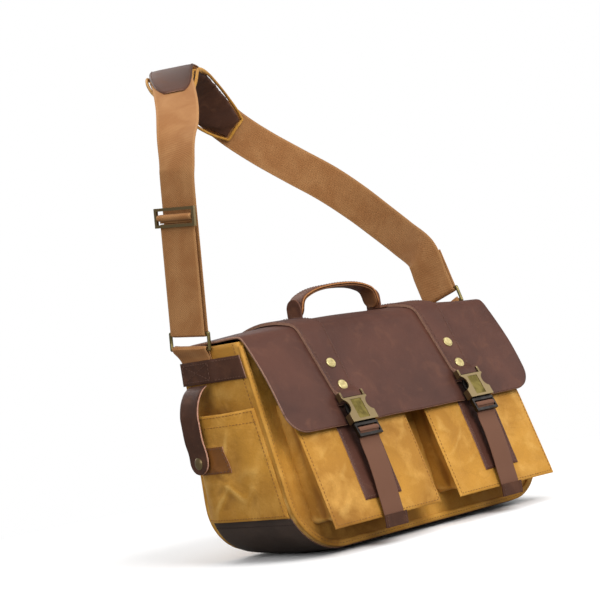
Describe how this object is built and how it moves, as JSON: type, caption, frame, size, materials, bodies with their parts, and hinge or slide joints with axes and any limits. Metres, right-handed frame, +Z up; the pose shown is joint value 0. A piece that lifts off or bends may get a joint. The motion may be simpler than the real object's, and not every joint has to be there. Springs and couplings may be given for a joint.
{
  "type": "camera bag",
  "caption": "Canvas camera bag with leather flap, buckled front pockets, side pockets, carry handle, padded insert and shoulder strap with pad.",
  "frame": {"origin": "middle of the flat base, on its underside", "axes": "+X to the right seen from the front, -Y to the front, +Z up"},
  "size_m": [0.4582, 0.4068, 0.587],
  "materials": {
    "canvas": "waxed cotton canvas, mustard",
    "flap_leather": "dark brown oiled leather",
    "base_leather": "slate brown leather",
    "tan_leather": "tan leather with light edges",
    "lining": "tan lining",
    "padding": "padded fabric over foam",
    "strap_webbing": "heavy cotton webbing, tan brown",
    "closure_webbing": "dark brown webbing",
    "brass": "satin brass",
    "antique_brass": "antique brass",
    "dark_metal": "gunmetal"
  },
  "bodies": {
    "strap": {"strap_webbing": "strap_webbing", "strap_return": "strap_webbing", "shoulder_pad": "padding", "pad_cap": "flap_leather"},
    "bag": {"front_panel": "canvas", "back_panel": "canvas", "side_gusset_left": "canvas", "side_gusset_right": "canvas", "base_panel": "base_leather", "front_rim": "canvas", "back_rim": "canvas", "insert_tray": "padding", "pocket_face_left": "canvas", "pocket_face_right": "canvas", "pocket_gusset_left": "canvas", "pocket_gusset_right": "canvas", "pocket_panel_left": "flap_leather", "pocket_panel_right": "flap_leather", "closure_webbing_left": "closure_webbing", "closure_webbing_right": "closure_webbing", "closure_patches": "flap_leather", "flap_root": "flap_leather", "side_band_left": "flap_leather", "side_band_right": "flap_leather", "side_pocket_left": "canvas", "side_pocket_right": "canvas", "snap_patches": "tan_leather", "snap_studs": "brass", "side_loop_left": "strap_webbing", "side_loop_right": "strap_webbing"},
    "divider_left": {"divider_left": "padding"},
    "divider_right": {"divider_right": "padding"},
    "ring_left": {"strap_ring_left": "antique_brass"},
    "ring_right": {"strap_ring_right": "antique_brass"},
    "slider": {"strap_slider": "antique_brass"},
    "flap_top": {"flap_top": "flap_leather", "top_strap_left": "flap_leather", "top_strap_right": "flap_leather", "handle_feet": "flap_leather"},
    "flap_front": {"flap_front": "flap_leather", "front_strap_left": "flap_leather", "front_strap_right": "flap_leather", "flap_rivets": "brass", "buckle_cover_left": "brass", "buckle_cover_right": "brass"},
    "handle": {"handle_grip": "flap_leather", "handle_core": "lining"},
    "tab_left": {"side_tab_left": "flap_leather", "snap_cap_left": "brass"},
    "tab_right": {"side_tab_right": "flap_leather", "snap_cap_right": "brass"},
    "buckle_left": {"buckle_frame_left": "dark_metal"},
    "buckle_right": {"buckle_frame_right": "dark_metal"},
    "prong_inner_left": {"prong_inner_left": "dark_metal"},
    "prong_outer_left": {"prong_outer_left": "dark_metal"},
    "prong_inner_right": {"prong_inner_right": "dark_metal"},
    "prong_outer_right": {"prong_outer_right": "dark_metal"}
  },
  "joints": [
    {"name": "bag_swing", "type": "hinge", "parent": "strap", "child": "bag", "pos_m": [0, 0.048, 0.236], "axis": [-1, 0, 0], "range_deg": [0, 20], "deforming": ["side_loop_left", "side_loop_right"]},
    {"name": "ring_left_tilt", "type": "hinge", "parent": "strap", "child": "ring_left", "pos_m": [-0.2088, 0.04606, 0.25389], "axis": [0.1746, -0.9789, -0.1063], "range_deg": [-10, 0]},
    {"name": "ring_right_tilt", "type": "hinge", "parent": "strap", "child": "ring_right", "pos_m": [0.2088, 0.05356, 0.25312], "axis": [0.1823, -0.9351, 0.3038], "range_deg": [0, 10]},
    {"name": "slider_slide", "type": "slide", "parent": "strap", "child": "slider", "axis": [0, 0.108, -0.9942], "range_m": [0, 0.09], "deforming": ["strap_return"]},
    {"name": "flap_lift", "type": "hinge", "parent": "bag", "child": "flap_top", "pos_m": [0, 0.075, 0.2363], "axis": [-1, 0, 0], "range_deg": [0, 150]},
    {"name": "flap_fold", "type": "hinge", "parent": "flap_top", "child": "flap_front", "pos_m": [0, -0.02296, 0.2395], "axis": [-1, 0, 0], "range_deg": [0, 45]},
    {"name": "handle_fold", "type": "hinge", "parent": "flap_top", "child": "handle", "pos_m": [0, 0.028, 0.2624], "axis": [1, 0, 0], "range_deg": [-75, 75]},
    {"name": "divider_left_slide", "type": "slide", "parent": "bag", "child": "divider_left", "axis": [1, 0, 0], "range_m": [-0.02, 0.02]},
    {"name": "tab_left_lift", "type": "hinge", "parent": "bag", "child": "tab_left", "pos_m": [-0.2075, 0.047, 0.1941], "axis": [0, 1, 0], "range_deg": [0, 100]},
    {"name": "buckle_left_slide", "type": "slide", "parent": "bag", "child": "buckle_left", "axis": [0, -0.4555, -0.8902], "range_m": [0, 0.03], "deforming": ["closure_webbing_left"]},
    {"name": "prong_inner_left_squeeze", "type": "hinge", "parent": "buckle_left", "child": "prong_inner_left", "pos_m": [-0.08305, -0.08912, 0.12952], "axis": [0, -0.8902, 0.4555], "range_deg": [0, 7], "stiffness_Nm_per_rad": 0.3},
    {"name": "prong_outer_left_squeeze", "type": "hinge", "parent": "buckle_left", "child": "prong_outer_left", "pos_m": [-0.10895, -0.08912, 0.12952], "axis": [0, 0.8902, -0.4555], "range_deg": [0, 7], "stiffness_Nm_per_rad": 0.3},
    {"name": "divider_right_slide", "type": "slide", "parent": "bag", "child": "divider_right", "axis": [1, 0, 0], "range_m": [-0.02, 0.02]},
    {"name": "tab_right_lift", "type": "hinge", "parent": "bag", "child": "tab_right", "pos_m": [0.2075, 0.047, 0.1941], "axis": [0, -1, 0], "range_deg": [0, 100]},
    {"name": "buckle_right_slide", "type": "slide", "parent": "bag", "child": "buckle_right", "axis": [0, -0.4555, -0.8902], "range_m": [0, 0.03], "deforming": ["closure_webbing_right"]},
    {"name": "prong_inner_right_squeeze", "type": "hinge", "parent": "buckle_right", "child": "prong_inner_right", "pos_m": [0.08305, -0.08912, 0.12952], "axis": [0, 0.8902, -0.4555], "range_deg": [0, 7], "stiffness_Nm_per_rad": 0.3},
    {"name": "prong_outer_right_squeeze", "type": "hinge", "parent": "buckle_right", "child": "prong_outer_right", "pos_m": [0.10895, -0.08912, 0.12952], "axis": [0, -0.8902, 0.4555], "range_deg": [0, 7], "stiffness_Nm_per_rad": 0.3}
  ],
  "couplings": [
    {"joint": "prong_outer_left_squeeze", "follows": "prong_inner_left_squeeze", "ratio": 1},
    {"joint": "prong_outer_right_squeeze", "follows": "prong_inner_right_squeeze", "ratio": 1}
  ]
}
